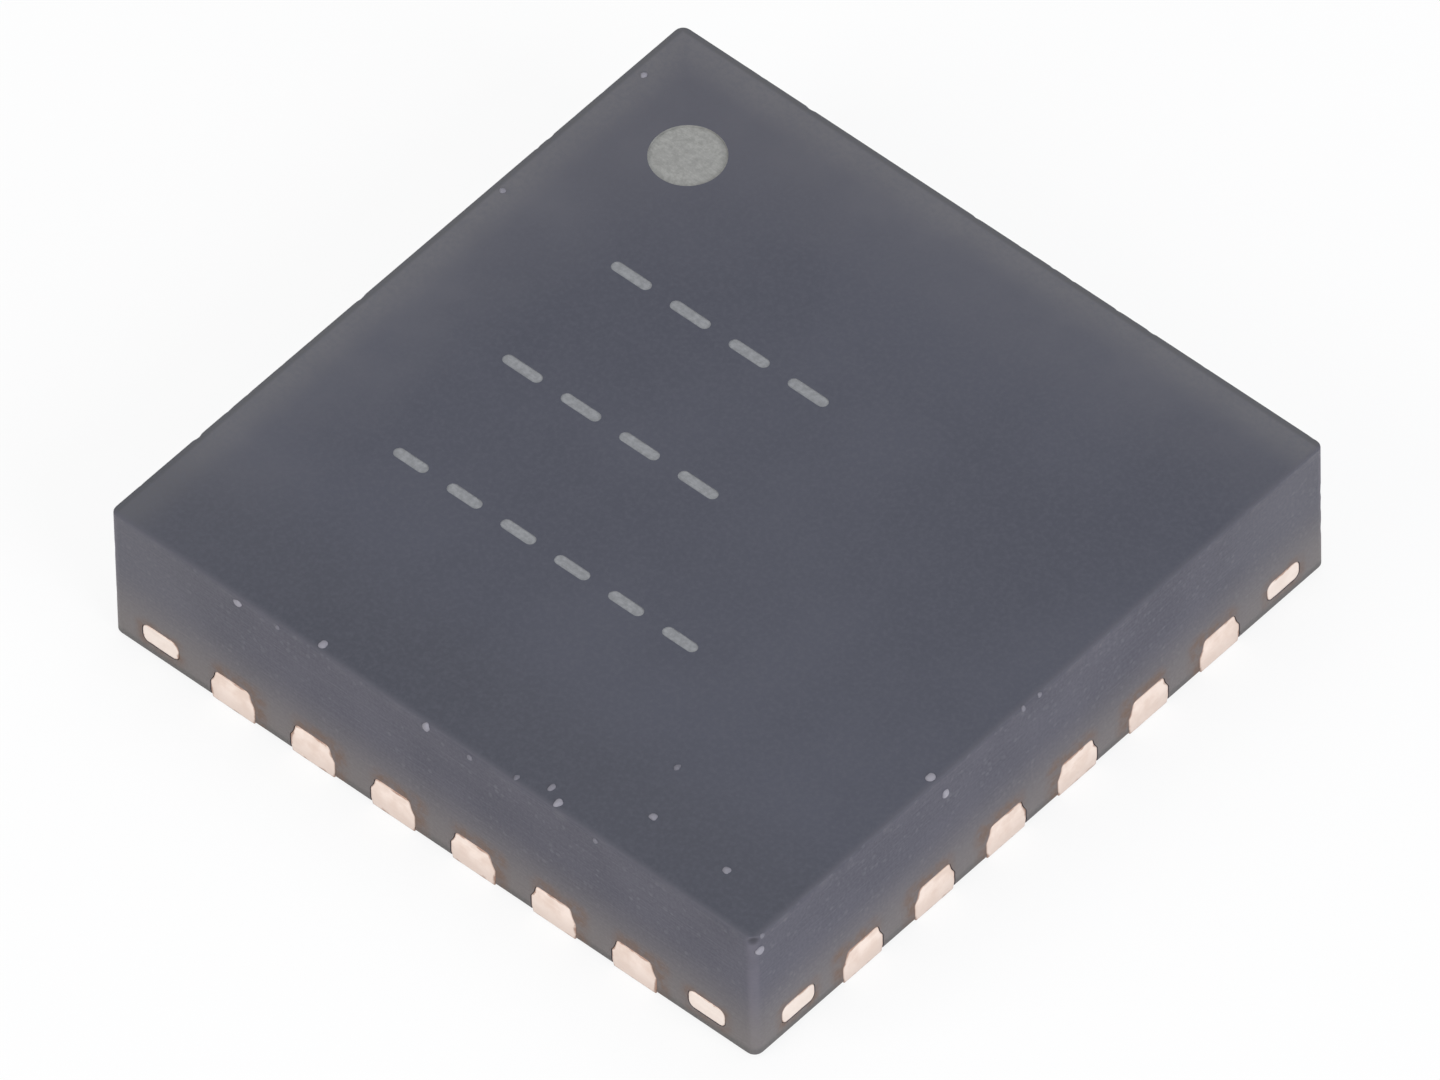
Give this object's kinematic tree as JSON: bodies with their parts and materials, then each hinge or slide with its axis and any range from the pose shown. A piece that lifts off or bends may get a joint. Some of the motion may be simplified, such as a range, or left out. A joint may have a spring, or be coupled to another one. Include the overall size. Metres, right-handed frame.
{
  "type": "qfn chip",
  "caption": "Square flat no-lead chip package: dark moulded body with sawn copper terminals flush in its walls and a bare die pad beneath, for soldering to a circuit board.",
  "frame": {"origin": "middle of the footprint on the seating plane, where the terminals and the die pad meet the board", "axes": "+Z up out of the board; +X to the right and +Y up when the marking is read with the pin-1 mark at the top left, at -X +Y"},
  "size_m": [0.004, 0.004, 0.0009],
  "materials": {
    "mould_compound": "matte moulded top, sawn walls",
    "lead_frame": "bare sawn copper on the walls, matte tin on the undersides",
    "die_adhesive": "silver-filled adhesive",
    "silicon": "polished",
    "bond_wire": "bright gold"
  },
  "bodies": {
    "root": {"mould_body": "mould_compound", "die_pad": "lead_frame", "die_attach": "die_adhesive", "die": "silicon", "lead_1": "lead_frame", "lead_2": "lead_frame", "lead_3": "lead_frame", "lead_4": "lead_frame", "lead_5": "lead_frame", "lead_6": "lead_frame", "lead_7": "lead_frame", "lead_8": "lead_frame", "lead_9": "lead_frame", "lead_10": "lead_frame", "lead_11": "lead_frame", "lead_12": "lead_frame", "lead_13": "lead_frame", "lead_14": "lead_frame", "lead_15": "lead_frame", "lead_16": "lead_frame", "lead_17": "lead_frame", "lead_18": "lead_frame", "lead_19": "lead_frame", "lead_20": "lead_frame", "lead_21": "lead_frame", "lead_22": "lead_frame", "lead_23": "lead_frame", "lead_24": "lead_frame", "bond_wire_1": "bond_wire", "bond_wire_2": "bond_wire", "bond_wire_3": "bond_wire", "bond_wire_4": "bond_wire", "bond_wire_5": "bond_wire", "bond_wire_6": "bond_wire", "bond_wire_7": "bond_wire", "bond_wire_8": "bond_wire", "bond_wire_9": "bond_wire", "bond_wire_10": "bond_wire", "bond_wire_11": "bond_wire", "bond_wire_12": "bond_wire", "bond_wire_13": "bond_wire", "bond_wire_14": "bond_wire", "bond_wire_15": "bond_wire", "bond_wire_16": "bond_wire", "bond_wire_17": "bond_wire", "bond_wire_18": "bond_wire", "bond_wire_19": "bond_wire", "bond_wire_20": "bond_wire", "bond_wire_21": "bond_wire", "bond_wire_22": "bond_wire", "bond_wire_23": "bond_wire", "bond_wire_24": "bond_wire"}
  },
  "joints": []
}
